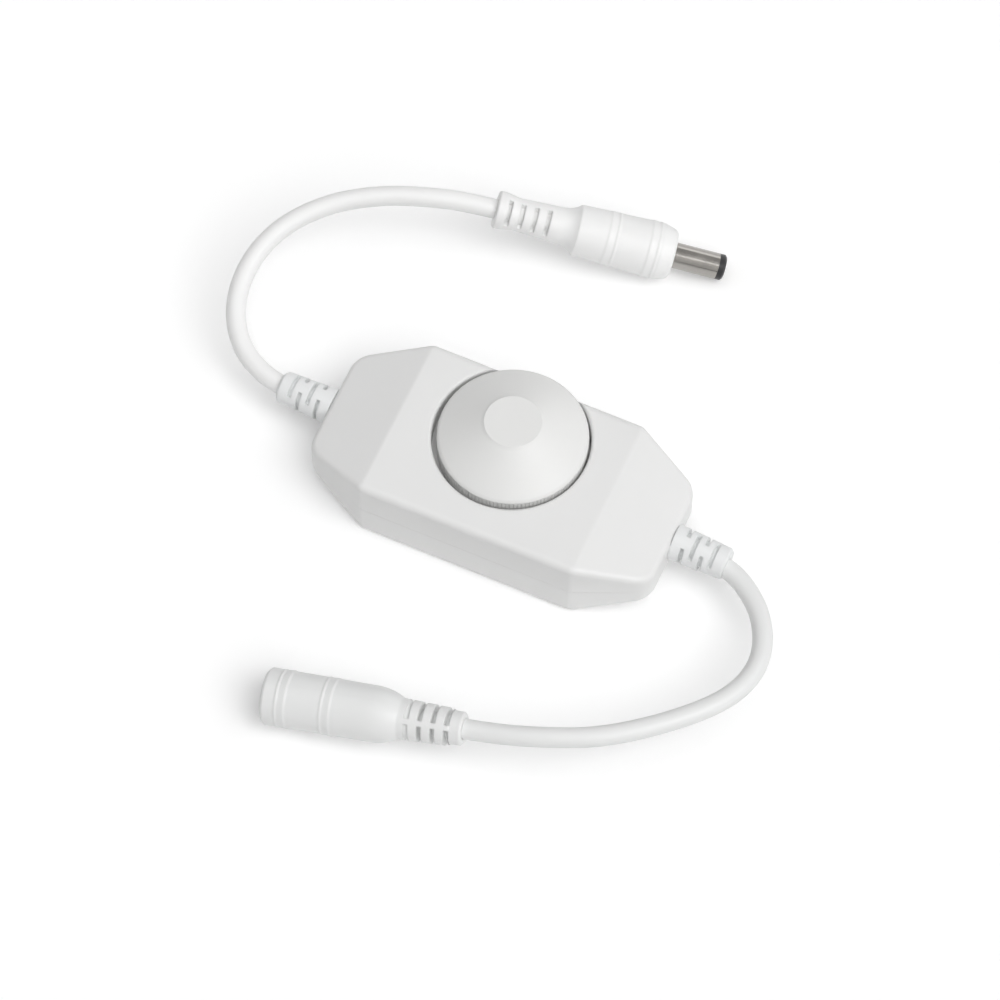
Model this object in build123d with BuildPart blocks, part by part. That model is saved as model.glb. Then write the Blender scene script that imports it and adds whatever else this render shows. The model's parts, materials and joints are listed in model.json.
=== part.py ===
from build123d import *

import os
from math import pi, radians, tan

# Inline rotary dimmer for low-voltage lamps, in millimetres.
# The origin is the centre of the housing's flat bottom. +X runs along the housing towards
# the socket's cord, +Y to the side where the knob overhangs, +Z up.

# Housing
HOUSING_LENGTH = 76.3
HOUSING_WIDTH = 37.1
HOUSING_HEIGHT = 17.6
FLAT_LENGTH = 46.6
END_WIDTH = 24.2
END_DROP = 5.1
WALL = 1.8
SHOULDER_CORNER = 3.0
END_CORNER = 5.0
CREASE_RADIUS = 2.5
RIM_ROUNDING = 1.5
MID_HEIGHT = HOUSING_HEIGHT / 2

# Knob and its well
KNOB_X = 0.35
KNOB_Y = 4.84
KNOB_RADIUS = 15.5
KNOB_RIM_RISE = 0.8
KNOB_SHOULDER = (14.1, 2.4)
KNOB_CROWN_RADIUS = 6.2
KNOB_RISE = 7.0
KNOB_WALL = 1.5
HUB_RADIUS = 4.4
HUB_RIB = 1.2
RIM_NOTCHES = 120
NOTCH_DEPTH = 0.16
NOTCH_WIDTH = 0.4
NOTCH_MARGIN = 0.4
WELL_RADIUS = 16.3
WELL_MOUTH_ROUNDING = 0.7
WELL_FLOOR = 13.1
WELL_WALL = 1.3
RUNNING_GAP = 0.7

# Potentiometer
SHAFT_RADIUS = 3.0
SHAFT_FLAT = 1.5
SHAFT_TOP = 21.4
SHAFT_FLAT_LENGTH = 6.0
SHAFT_CLEARANCE = 0.05
POT_WIDTH = 9.8
POT_DEPTH = 11.4
POT_BASE_HEIGHT = 2.2
POT_HEIGHT = 5.0
POT_COVER_WALL = 0.4
COLLAR_RADIUS = 3.8
COLLAR_HEIGHT = 1.4
COLLAR_GAP = 0.2
ROTOR_RADIUS = 4.0
ROTOR_END_GAP = 0.3
WIPER_THICKNESS = 0.4
WIPER_REACH = 1.2
TRACK_THICKNESS = 0.15
TERMINAL_PITCH = 2.5
TERMINAL_OFFSET = 0.6
TERMINAL_TAIL = 1.2

# Circuit board and what it carries
BOARD_BOTTOM = 4.2
BOARD_THICKNESS = 1.6
BOARD_LENGTH = 54.0
BOARD_END_WIDTH = 17.0
BOARD_MIDDLE_LENGTH = 30.0
BOARD_WIDTH = 29.0
BOARD_TOP = BOARD_BOTTOM + BOARD_THICKNESS
PAD_X = 24.5
PAD_Y = 2.4

# Posts and screws
POST_X = 20.0
POST_Y = 13.1
POST_RADIUS = 3.5
SCREW_RADIUS = 1.3
SCREW_LENGTH = 10.0
HEAD_RADIUS = 2.3
HEAD_HEIGHT = 1.7
HEAD_SEAT = 3.0
RECESS_LENGTH = 2.4
RECESS_WIDTH = 0.6
RECESS_DEPTH = 0.9
HEAD_HOLE_RADIUS = 2.5
SCREW_HOLE_RADIUS = 1.45
REST_POST_RADIUS = 1.4
REST_POST_PLACE = 11.5

# Cords and strain reliefs
CORD_RADIUS = 2.1
CORD_EXIT_SHIFT = 0.7
CORE_RADIUS = 0.75
CORE_SPREAD = 0.95
CORE_LEAD = 5.0
CORE_DROP = 2.2
RELIEF_LENGTH = 11.9
RELIEF_ROOT_RADIUS = 3.9
RELIEF_END_RADIUS = 3.4
RELIEF_DROOP = 1.0
RELIEF_YAW = 1.5
RELIEF_SLOTS = 4
RELIEF_FIRST_SLOT = 3.0
RELIEF_PITCH = 2.1
RELIEF_CORE_RADIUS = 2.75
SLOT_WIDTH = 0.75
NARROW_SLOT = 102
WIDE_SLOT = 136
NECK_RADIUS = 2.9
FLANGE_THICKNESS = 1.4
FLANGE_WIDTH = 8.8
FLANGE_HEIGHT = 4.4

# Plug and socket, resting nose down beside the housing. Places are from the cord's end.
BAND_WIDTH = 1.75
BAND_RISE = 0.16
BAND_SLOPE = 0.4
BOOT_SLOT_WIDTH = 0.9
BOOT_SLOTS = 4
BOOT_SLOT_FLOOR = 2.45
PLUG_START = (-26.0, 55.2, 13.4)
PLUG_DIRECTION = 14.36
PLUG_DIP = 12
PLUG_LENGTH = 38.4
PLUG_END_RADIUS = 4.0
PLUG_BOOT_START = (4.4, 3.5)
PLUG_BOOT_END = (14.2, 3.95)
PLUG_SHOULDER = (17.5, 5.45)
PLUG_WIDEST = (35.4, 6.05)
PLUG_BANDS = (24.8, 33.7)
PLUG_FRONT_RADIUS = 5.3
PLUG_FIRST_SLOT = 2.6
PLUG_SLOT_PITCH = 2.8
PLUG_SLOT_OPENING = 92
PLUG_ROLL = 36
SOCKET_START = (16.9, -55.9, 10.85)
SOCKET_DIRECTION = 190.15
SOCKET_DIP = 7
SOCKET_LENGTH = 41.2
SOCKET_COLLAR = (2.4, 3.45)
SOCKET_BOOT_RADII = (3.85, 4.2)
SOCKET_BOOT_LENGTH = 13.1
SOCKET_SHOULDER = (18.8, 5.75)
SOCKET_WIDEST = (40.6, 5.85)
SOCKET_BANDS = (27.7, 37.0)
SOCKET_NOSE_ROUNDING = 0.55
SOCKET_FIRST_SLOT = 3.0
SOCKET_SLOT_PITCH = 2.75
SOCKET_SLOT_OPENING = 162
SOCKET_LAST_SLOT_FLOOR = 3.75
SOCKET_ROLL = 58

# Contacts of the 5.5 x 2.1 mm plug and socket
BARREL_RADIUS = 2.75
BARREL_NECK_RADIUS = 2.55
BARREL_BORE_RADIUS = 2.3
BARREL_LENGTH = 9.8
BARREL_SEAT = 4.0
TIP_LENGTH = 1.5
CONTACT_RADIUS = 1.5
CONTACT_BORE_RADIUS = 1.05
CONTACT_RECESS = 0.5
CENTRE_PIN_RADIUS = 1.0
CENTRE_PIN_LENGTH = 9.0
PIN_ROOT_RADIUS = 1.4
SOCKET_BORE_RADIUS = 2.85
SOCKET_BORE_DEPTH = 10.0
INSERT_RADIUS = 4.3
INSERT_LENGTH = 13.0
INSERT_RECESS = 0.3
SPRING_WIDTH = 2.2
SPRING_THICKNESS = 0.25
SPRING_RECESS = 0.9

# Free cord routes, from inside the housing to inside the boot of the plug or the socket
OUTPUT_ROUTE = [
    (-33.6, 0.7, 9.2),
    (-46.5, 0.9, 8.6),
    (-54.0, 1.5, 8.6),
    (-61.5, 5.4, 9.4),
    (-66.6, 12.7, 10.8),
    (-68.0, 22.8, 12.6),
    (-64.9, 32.9, 14.2),
    (-57.8, 41.2, 15.4),
    (-48.7, 46.9, 16.2),
    (-39.5, 50.6, 16.1),
    (-31.7, 53.7, 14.65),
    (-22.2, 56.2, 12.57),
]
INPUT_ROUTE = [
    (33.6, 0.7, 9.2),
    (46.5, 0.5, 8.6),
    (54.4, -1.8, 8.6),
    (61.8, -8.8, 8.9),
    (65.0, -18.3, 9.6),
    (62.5, -27.9, 10.6),
    (54.5, -37.5, 11.7),
    (43.3, -47.0, 12.7),
    (32.9, -51.9, 12.9),
    (22.8, -54.8, 11.58),
    (13.0, -56.6, 10.36),
]
CORD_ROUTES = {"input": INPUT_ROUTE, "output": OUTPUT_ROUTE}
CORD_SIDES = {"input": 1, "output": -1}
RELIEF_ROLLS = {"input": 15, "output": -2}

os.makedirs("parts", exist_ok=True)


def housing_plan(half_length, half_width, half_end):
    """Corners of the eight-sided plan outline, anticlockwise."""
    half_flat = FLAT_LENGTH / 2
    return [
        (half_length, -half_end),
        (half_length, half_end),
        (half_flat, half_width),
        (-half_flat, half_width),
        (-half_length, half_end),
        (-half_length, -half_end),
        (-half_flat, -half_width),
        (half_flat, -half_width),
    ]


def housing_side(half_length):
    """Corners of the side view, whose ends slope in both above and below."""
    half_flat = FLAT_LENGTH / 2
    return [
        (half_flat, 0),
        (half_length, END_DROP),
        (half_length, HOUSING_HEIGHT - END_DROP),
        (half_flat, HOUSING_HEIGHT),
        (-half_flat, HOUSING_HEIGHT),
        (-half_length, HOUSING_HEIGHT - END_DROP),
        (-half_length, END_DROP),
        (-half_flat, 0),
    ]


def housing_form(inset):
    """Closed form of both shells together, drawn in by the same distance all round."""
    half_length = HOUSING_LENGTH / 2
    near_end = half_length - 1
    with BuildPart() as form:
        with BuildSketch() as plan:
            Polygon(*housing_plan(half_length, HOUSING_WIDTH / 2, END_WIDTH / 2), align=None)
            ends = plan.vertices().filter_by(lambda v: abs(v.X) > near_end)
            fillet(ends, END_CORNER)
            shoulders = plan.vertices().filter_by(lambda v: abs(v.Y) > HOUSING_WIDTH / 2 - 0.1)
            fillet(shoulders, SHOULDER_CORNER)
            if inset:
                offset(amount=-inset)
        extrude(amount=HOUSING_HEIGHT)
        with BuildSketch(Plane.XZ) as side:
            Polygon(*housing_side(half_length), align=None)
            creases = side.vertices().filter_by(lambda v: abs(v.X) < near_end)
            fillet(creases, CREASE_RADIUS)
            if inset:
                offset(amount=-inset)
        extrude(amount=HOUSING_WIDTH, both=True, mode=Mode.INTERSECT)
        if not inset:
            across = form.edges().filter_by(Axis.Y)
            creases = across.filter_by(lambda e: abs(e.center().X) < near_end)
            fillet(form.edges() - form.edges().filter_by(Axis.Z) - creases, RIM_ROUNDING)
    return form.part


def tube_radii(route):
    """Largest bend radius that each corner of a route leaves room for."""
    radii = []
    for before, corner, after in zip(route, route[1:], route[2:]):
        arriving = Vector(corner) - Vector(before)
        leaving = Vector(after) - Vector(corner)
        half_turn = radians(arriving.get_angle(leaving)) / 2
        radii.append(0.45 * min(arriving.length, leaving.length) / tan(half_turn))
    return radii


def cross_plane(origin, direction):
    """Plane square to a level or nearly level direction, with local x level."""
    return Plane(origin=origin, x_dir=Vector(0, 0, 1).cross(direction), z_dir=direction)


def profile_plane(origin, direction):
    """Upright plane along a direction, with local x along it and local y away from it."""
    return Plane(origin=origin, x_dir=direction, z_dir=direction.cross(Vector(0, 0, 1)))


def wedges(reach, opening, roll=0):
    """Two opposite wedges, each spanning the opening angle, upright when the roll is zero."""
    half_side = reach * tan(radians(opening / 2))
    with PolarLocations(0, 2, start_angle=90 + roll):
        Polygon((0, 0), (reach, -half_side), (reach, half_side), align=None)


def banded_taper(start, end, bands):
    """Outline points of a straight taper with two low ridges round it at each band."""
    slope = (end[1] - start[1]) / (end[0] - start[0])
    points = [start]
    for band in bands:
        for place, rise in (
            (band - BAND_WIDTH / 2 - BAND_SLOPE, 0),
            (band - BAND_WIDTH / 2, BAND_RISE),
            (band + BAND_WIDTH / 2 - BAND_SLOPE, 0),
            (band + BAND_WIDTH / 2, BAND_RISE),
            (band + BAND_WIDTH / 2 + BAND_SLOPE, 0),
        ):
            points.append((place, start[1] + slope * (place - start[0]) + rise))
    return points + [end]


def resting_direction(direction, dip):
    """Direction of a fitting that points along a level heading and dips towards its nose."""
    return Vector(1, 0, 0).rotate(Axis.Y, dip).rotate(Axis.Z, direction)


# Cords

cord_parts = {}
for end, route in CORD_ROUTES.items():
    name = f"{end}_cord"
    radii = tube_radii(route)
    with BuildPart() as cord:
        with BuildLine() as path:
            FilletPolyline(*route, radius=radii)
        with BuildSketch(path.line ^ 0):
            Circle(CORD_RADIUS)
        sweep()
    length = path.wire().length
    print(name, "radii", [round(r, 1) for r in radii])
    print(name, "length", round(length, 1))
    print(name, "volume ratio", round(cord.part.volume / (pi * CORD_RADIUS**2 * length), 4))
    cord.part.label = name
    export_step(cord.part, f"parts/{name}.step")
    cord_parts[end] = cord.part

# Lower housing

outer_form = housing_form(0)
inner_form = housing_form(WALL)
half_length = HOUSING_LENGTH / 2
neck_plane = Plane(origin=(-half_length, CORD_EXIT_SHIFT, MID_HEIGHT), z_dir=(1, 0, 0))

with BuildPart() as lower_housing:
    add(outer_form)
    add(inner_form, mode=Mode.SUBTRACT)
    split(bisect_by=Plane.XY.offset(MID_HEIGHT), keep=Keep.BOTTOM)
    with BuildSketch(Plane.XY.offset(WALL / 2)):
        with GridLocations(2 * POST_X, 2 * POST_Y, 2, 2):
            Circle(POST_RADIUS)
    extrude(amount=MID_HEIGHT - WALL / 2)
    with BuildSketch(Plane.XY.offset(WALL / 2)):
        with GridLocations(2 * REST_POST_PLACE, 2 * REST_POST_PLACE, 2, 2):
            Circle(REST_POST_RADIUS)
    extrude(amount=BOARD_BOTTOM - WALL / 2)
    with BuildSketch():
        with GridLocations(2 * POST_X, 2 * POST_Y, 2, 2):
            Circle(HEAD_HOLE_RADIUS)
    extrude(amount=HEAD_SEAT, mode=Mode.SUBTRACT)
    with BuildSketch():
        with GridLocations(2 * POST_X, 2 * POST_Y, 2, 2):
            Circle(SCREW_HOLE_RADIUS)
    extrude(amount=MID_HEIGHT, mode=Mode.SUBTRACT)
    with BuildSketch(neck_plane):
        Circle(NECK_RADIUS)
    extrude(amount=HOUSING_LENGTH, mode=Mode.SUBTRACT)
lower_housing.part.label = "lower_housing"
export_step(lower_housing.part, "parts/lower_housing.step")

# Upper housing, with the well that the knob turns in. The well breaks out through the +Y wall.

well_outer = WELL_RADIUS + WELL_WALL
top_wall = HOUSING_HEIGHT - WALL

with BuildPart() as upper_housing:
    add(outer_form)
    add(inner_form, mode=Mode.SUBTRACT)
    split(bisect_by=Plane.XY.offset(MID_HEIGHT), keep=Keep.TOP)
    with BuildSketch(Plane.XY.offset(WELL_FLOOR - WELL_WALL)):
        with Locations((0, KNOB_Y)):
            Circle(well_outer)
        Rectangle(HOUSING_LENGTH, HOUSING_WIDTH - WALL, mode=Mode.INTERSECT)
    extrude(amount=top_wall + WALL / 2 - WELL_FLOOR + WELL_WALL)
    with BuildSketch(Plane.XY.offset(MID_HEIGHT)):
        with GridLocations(2 * POST_X, 2 * POST_Y, 2, 2):
            Circle(POST_RADIUS)
    extrude(amount=top_wall + WALL / 2 - MID_HEIGHT)
    with BuildSketch(Plane.XY.offset(MID_HEIGHT)):
        with GridLocations(2 * POST_X, 2 * POST_Y, 2, 2):
            Circle(SCREW_RADIUS)
    extrude(amount=HEAD_SEAT + SCREW_LENGTH + 0.5 - MID_HEIGHT, mode=Mode.SUBTRACT)
    with BuildSketch(Plane(origin=(0, KNOB_Y, 0), x_dir=(1, 0, 0), z_dir=(0, -1, 0))):
        mouth = WELL_RADIUS + WELL_MOUTH_ROUNDING
        with BuildLine():
            Polyline((0, HOUSING_HEIGHT + 1), (0, WELL_FLOOR), (WELL_RADIUS, WELL_FLOOR),
                     (WELL_RADIUS, HOUSING_HEIGHT - WELL_MOUTH_ROUNDING))
            TangentArc((WELL_RADIUS, HOUSING_HEIGHT - WELL_MOUTH_ROUNDING),
                       (mouth, HOUSING_HEIGHT), tangent=(0, 1))
            Polyline((mouth, HOUSING_HEIGHT), (mouth, HOUSING_HEIGHT + 1),
                     (0, HOUSING_HEIGHT + 1))
        make_face()
    revolve(axis=Axis((0, KNOB_Y, 0), (0, 0, 1)), mode=Mode.SUBTRACT)
    with BuildSketch(Plane.XY.offset(WELL_FLOOR - WELL_WALL)):
        with Locations((KNOB_X, KNOB_Y)):
            Circle(COLLAR_RADIUS + COLLAR_GAP)
    extrude(amount=WELL_WALL, mode=Mode.SUBTRACT)
    with BuildSketch(neck_plane):
        Circle(NECK_RADIUS)
    extrude(amount=HOUSING_LENGTH, mode=Mode.SUBTRACT)
upper_housing.part.label = "upper_housing"
export_step(upper_housing.part, "parts/upper_housing.step")

# Housing screws, self-tapping, with cross-recessed pan heads

with BuildPart() as housing_screws:
    with BuildSketch(Plane.XY.offset(HEAD_SEAT - HEAD_HEIGHT)):
        with GridLocations(2 * POST_X, 2 * POST_Y, 2, 2):
            Circle(HEAD_RADIUS)
    extrude(amount=HEAD_HEIGHT)
    chamfer(housing_screws.edges().group_by(Axis.Z)[0], 0.4)
    with BuildSketch(Plane.XY.offset(HEAD_SEAT)):
        with GridLocations(2 * POST_X, 2 * POST_Y, 2, 2):
            Circle(SCREW_RADIUS)
    extrude(amount=SCREW_LENGTH)
    with BuildSketch(Plane.XY.offset(HEAD_SEAT - HEAD_HEIGHT)):
        with GridLocations(2 * POST_X, 2 * POST_Y, 2, 2):
            Rectangle(RECESS_LENGTH, RECESS_WIDTH)
            Rectangle(RECESS_WIDTH, RECESS_LENGTH)
    extrude(amount=RECESS_DEPTH, mode=Mode.SUBTRACT)
housing_screws.part.label = "housing_screws"
export_step(housing_screws.part, "parts/housing_screws.step")

# Knob, a bell with a notched rim, hollow below, with a hub on four ribs

rim_top = HOUSING_HEIGHT + KNOB_RIM_RISE
rim_bottom = WELL_FLOOR + RUNNING_GAP
crown = HOUSING_HEIGHT + KNOB_RISE
shoulder_radius, shoulder_rise = KNOB_SHOULDER
shoulder = (shoulder_radius, HOUSING_HEIGHT + shoulder_rise)
knob_section = Plane(origin=(KNOB_X, KNOB_Y, 0), x_dir=(1, 0, 0), z_dir=(0, -1, 0))
knob_axis = Axis((KNOB_X, KNOB_Y, 0), (0, 0, 1))
inside_radius = KNOB_RADIUS - NOTCH_DEPTH - KNOB_WALL
inside_top = crown - 2 * KNOB_WALL

with BuildPart() as knob:
    with BuildSketch(knob_section):
        with BuildLine():
            Polyline((0, crown), (0, rim_bottom), (KNOB_RADIUS, rim_bottom), (KNOB_RADIUS, rim_top))
            shoulder_arc = TangentArc((KNOB_RADIUS, rim_top), shoulder, tangent=(0, 1))
            TangentArc(shoulder, (KNOB_CROWN_RADIUS, crown - 0.3), tangent=shoulder_arc % 1)
            Polyline((KNOB_CROWN_RADIUS, crown - 0.3), (KNOB_CROWN_RADIUS - 0.3, crown), (0, crown))
        make_face()
    revolve(axis=knob_axis)
    with BuildSketch(knob_section):
        with BuildLine():
            Polyline((0, rim_bottom), (inside_radius, rim_bottom), (inside_radius, rim_top),
                     (KNOB_CROWN_RADIUS, inside_top), (0, inside_top), (0, rim_bottom))
        make_face()
    revolve(axis=knob_axis, mode=Mode.SUBTRACT)
    with BuildSketch(Plane.XY.offset(rim_bottom)):
        with Locations((KNOB_X, KNOB_Y)):
            Circle(HUB_RADIUS)
            Rectangle(2 * inside_radius + KNOB_WALL, HUB_RIB)
            Rectangle(HUB_RIB, 2 * inside_radius + KNOB_WALL)
    extrude(amount=rim_top - rim_bottom)
    with BuildSketch(Plane.XY.offset(rim_top)):
        with Locations((KNOB_X, KNOB_Y)):
            Circle(HUB_RADIUS)
    extrude(amount=inside_top - rim_top)
    with BuildSketch(Plane.XY.offset(rim_bottom)):
        with Locations((KNOB_X, KNOB_Y)):
            Circle(SHAFT_RADIUS)
    extrude(amount=SHAFT_TOP - SHAFT_FLAT_LENGTH - rim_bottom, mode=Mode.SUBTRACT)
    with BuildSketch(Plane.XY.offset(SHAFT_TOP - SHAFT_FLAT_LENGTH)):
        with Locations((KNOB_X, KNOB_Y)):
            Circle(SHAFT_RADIUS)
        with Locations((KNOB_X, KNOB_Y + SHAFT_FLAT + SHAFT_RADIUS)):
            Rectangle(2 * SHAFT_RADIUS, 2 * SHAFT_RADIUS, mode=Mode.SUBTRACT)
    extrude(amount=SHAFT_FLAT_LENGTH, mode=Mode.SUBTRACT)
    with BuildSketch(Plane.XY.offset(rim_bottom + NOTCH_MARGIN)):
        with Locations((KNOB_X, KNOB_Y)):
            with PolarLocations(KNOB_RADIUS, RIM_NOTCHES):
                Polygon((-NOTCH_DEPTH, 0), (NOTCH_DEPTH, -NOTCH_WIDTH), (NOTCH_DEPTH, NOTCH_WIDTH),
                        align=None)
    extrude(amount=rim_top - rim_bottom - 2 * NOTCH_MARGIN, mode=Mode.SUBTRACT)
knob.part.label = "knob"
export_step(knob.part, "parts/knob.step")

# Potentiometer: the shaft, rotor and wiper turn with the knob

pot_top = BOARD_TOP + POT_HEIGHT
cover_bottom = BOARD_TOP + POT_BASE_HEIGHT
wiper_bottom = cover_bottom + TRACK_THICKNESS + 0.05
rotor_bottom = wiper_bottom + WIPER_THICKNESS
rotor_top = pot_top - POT_COVER_WALL - ROTOR_END_GAP

with BuildPart() as pot_shaft:
    with BuildSketch(Plane.XY.offset(rotor_bottom)):
        with Locations((KNOB_X, KNOB_Y)):
            Circle(SHAFT_RADIUS)
    extrude(amount=SHAFT_TOP - rotor_bottom)
    with BuildSketch(Plane.XY.offset(SHAFT_TOP - SHAFT_FLAT_LENGTH)):
        with Locations((KNOB_X, KNOB_Y + SHAFT_FLAT + SHAFT_RADIUS)):
            Rectangle(2 * SHAFT_RADIUS, 2 * SHAFT_RADIUS)
    extrude(amount=SHAFT_FLAT_LENGTH, mode=Mode.SUBTRACT)
pot_shaft.part.label = "pot_shaft"
export_step(pot_shaft.part, "parts/pot_shaft.step")

with BuildPart() as pot_rotor:
    with BuildSketch(Plane.XY.offset(rotor_bottom)):
        with Locations((KNOB_X, KNOB_Y)):
            Circle(ROTOR_RADIUS)
            Circle(SHAFT_RADIUS, mode=Mode.SUBTRACT)
    extrude(amount=rotor_top - rotor_bottom)
pot_rotor.part.label = "pot_rotor"
export_step(pot_rotor.part, "parts/pot_rotor.step")

with BuildPart() as pot_wiper:
    with BuildSketch(Plane.XY.offset(wiper_bottom)):
        with Locations((KNOB_X, KNOB_Y)):
            Circle(ROTOR_RADIUS - 0.3)
            Circle(ROTOR_RADIUS - 0.3 - WIPER_REACH, mode=Mode.SUBTRACT)
        with Locations((KNOB_X, KNOB_Y - ROTOR_RADIUS)):
            Rectangle(2 * ROTOR_RADIUS, 1.6 * ROTOR_RADIUS, mode=Mode.INTERSECT)
    extrude(amount=WIPER_THICKNESS)
pot_wiper.part.label = "pot_wiper"
export_step(pot_wiper.part, "parts/pot_wiper.step")

with BuildPart() as pot_base:
    with BuildSketch(Plane.XY.offset(BOARD_TOP)):
        with Locations((KNOB_X, KNOB_Y)):
            Rectangle(POT_WIDTH, POT_DEPTH)
    extrude(amount=POT_BASE_HEIGHT)
    chamfer(pot_base.edges().filter_by(Axis.Z), 0.6)
pot_base.part.label = "pot_base"
export_step(pot_base.part, "parts/pot_base.step")

with BuildPart() as pot_track:
    with BuildSketch(Plane.XY.offset(cover_bottom)):
        with Locations((KNOB_X, KNOB_Y)):
            Circle(ROTOR_RADIUS)
            Circle(ROTOR_RADIUS - 0.3 - WIPER_REACH, mode=Mode.SUBTRACT)
        with Locations((KNOB_X, KNOB_Y + ROTOR_RADIUS)):
            Rectangle(ROTOR_RADIUS / 2, ROTOR_RADIUS, mode=Mode.SUBTRACT)
    extrude(amount=TRACK_THICKNESS)
pot_track.part.label = "pot_track"
export_step(pot_track.part, "parts/pot_track.step")

with BuildPart() as pot_cover:
    with BuildSketch(Plane.XY.offset(cover_bottom)):
        with Locations((KNOB_X, KNOB_Y)):
            Rectangle(POT_WIDTH, POT_DEPTH)
    extrude(amount=pot_top - cover_bottom)
    with BuildSketch(Plane.XY.offset(cover_bottom)):
        with Locations((KNOB_X, KNOB_Y)):
            Rectangle(POT_WIDTH - 2 * POT_COVER_WALL, POT_DEPTH - 2 * POT_COVER_WALL)
    extrude(amount=pot_top - cover_bottom - POT_COVER_WALL, mode=Mode.SUBTRACT)
    with BuildSketch(Plane.XY.offset(pot_top)):
        with Locations((KNOB_X, KNOB_Y)):
            Circle(COLLAR_RADIUS)
    extrude(amount=COLLAR_HEIGHT)
    with BuildSketch(Plane.XY.offset(pot_top - POT_COVER_WALL)):
        with Locations((KNOB_X, KNOB_Y)):
            Circle(SHAFT_RADIUS + SHAFT_CLEARANCE)
    extrude(amount=COLLAR_HEIGHT + POT_COVER_WALL, mode=Mode.SUBTRACT)
pot_cover.part.label = "pot_cover"
export_step(pot_cover.part, "parts/pot_cover.step")

pot_front = KNOB_Y - POT_DEPTH / 2
terminal_y = pot_front - TERMINAL_OFFSET

with BuildPart() as pot_terminals:
    for step in (-1, 0, 1):
        with BuildSketch(Plane.YZ.offset(KNOB_X + step * TERMINAL_PITCH)):
            with BuildLine():
                Polyline(
                    (pot_front, BOARD_TOP + 1.5),
                    (terminal_y - 0.3, BOARD_TOP + 1.5),
                    (terminal_y - 0.3, BOARD_BOTTOM - TERMINAL_TAIL),
                    (terminal_y + 0.3, BOARD_BOTTOM - TERMINAL_TAIL),
                    (terminal_y + 0.3, BOARD_TOP + 0.9),
                    (pot_front, BOARD_TOP + 0.9),
                    close=True,
                )
            make_face()
        extrude(amount=0.4, both=True)
pot_terminals.part.label = "pot_terminals"
export_step(pot_terminals.part, "parts/pot_terminals.step")

# Circuit board, narrowed at its ends to pass between the posts

with BuildPart() as circuit_board:
    with BuildSketch(Plane.XY.offset(BOARD_BOTTOM)):
        Rectangle(BOARD_LENGTH, BOARD_END_WIDTH)
        Rectangle(BOARD_MIDDLE_LENGTH, BOARD_WIDTH)
        for step in (-1, 0, 1):
            with Locations((KNOB_X + step * TERMINAL_PITCH, terminal_y)):
                Rectangle(1.0, 0.8, mode=Mode.SUBTRACT)
    extrude(amount=BOARD_THICKNESS)
circuit_board.part.label = "circuit_board"
export_step(circuit_board.part, "parts/circuit_board.step")

# Power transistor on its tab, with two short legs

transistor_x = -11.0
transistor_y = -4.0
transistor_depth = 6.1
tab_thickness = 0.5
leg_root = transistor_y - transistor_depth / 2
leg_end = leg_root - 3.0
leg_spacing = 4.56

with BuildPart() as power_transistor:
    with BuildSketch(Plane.XY.offset(BOARD_TOP + tab_thickness)):
        with Locations((transistor_x, transistor_y)):
            Rectangle(6.6, transistor_depth)
    extrude(amount=1.8)
    chamfer(power_transistor.faces().sort_by(Axis.Z)[-1].edges(), 0.3)
power_transistor.part.label = "power_transistor"
export_step(power_transistor.part, "parts/power_transistor.step")

with BuildPart() as transistor_leads:
    with BuildSketch(Plane.XY.offset(BOARD_TOP)):
        with Locations((transistor_x, transistor_y + 0.9)):
            Rectangle(5.3, 7.2)
    extrude(amount=tab_thickness)
    for side in (-1, 1):
        with BuildSketch(Plane.YZ.offset(transistor_x + side * leg_spacing / 2)):
            with BuildLine():
                Polyline(
                    (leg_root, BOARD_TOP + 1.2),
                    (leg_root - 1.6, BOARD_TOP + 1.2),
                    (leg_root - 1.6, BOARD_TOP + 0.5),
                    (leg_end, BOARD_TOP + 0.5),
                    (leg_end, BOARD_TOP),
                    (leg_root - 1.1, BOARD_TOP),
                    (leg_root - 1.1, BOARD_TOP + 0.7),
                    (leg_root, BOARD_TOP + 0.7),
                    close=True,
                )
            make_face()
        extrude(amount=0.4, both=True)
transistor_leads.part.label = "transistor_leads"
export_step(transistor_leads.part, "parts/transistor_leads.step")

# Timer chip that sets the pulse width, with its eight gull-wing legs

chip_x = 12.0
chip_y = -6.0
chip_length = 4.9
chip_half_width = 1.95
leg_pitch = 1.27

with BuildPart() as timer_chip:
    with BuildSketch(Plane.XY.offset(BOARD_TOP + 0.2)):
        with Locations((chip_x, chip_y)):
            Rectangle(chip_length, 2 * chip_half_width)
    extrude(amount=1.4)
    chamfer(timer_chip.faces().sort_by(Axis.Z)[-1].edges(), 0.25)
timer_chip.part.label = "timer_chip"
export_step(timer_chip.part, "parts/timer_chip.step")

with BuildPart() as timer_chip_legs:
    for side in (-1, 1):
        for step in range(4):
            with BuildSketch(Plane.YZ.offset(chip_x + (step - 1.5) * leg_pitch)):
                with BuildLine():
                    Polyline(
                        (chip_y + side * chip_half_width, BOARD_TOP + 0.9),
                        (chip_y + side * 2.5, BOARD_TOP + 0.9),
                        (chip_y + side * 2.5, BOARD_TOP + 0.2),
                        (chip_y + side * 3.1, BOARD_TOP + 0.2),
                        (chip_y + side * 3.1, BOARD_TOP),
                        (chip_y + side * 2.3, BOARD_TOP),
                        (chip_y + side * 2.3, BOARD_TOP + 0.7),
                        (chip_y + side * chip_half_width, BOARD_TOP + 0.7),
                        close=True,
                    )
                make_face()
            extrude(amount=0.2, both=True)
timer_chip_legs.part.label = "timer_chip_legs"
export_step(timer_chip_legs.part, "parts/timer_chip_legs.step")

# Smoothing capacitor, a low can on a square foot

capacitor_x = 15.0
capacitor_y = 1.8
foot_side = 6.6
foot_height = 0.8

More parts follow.
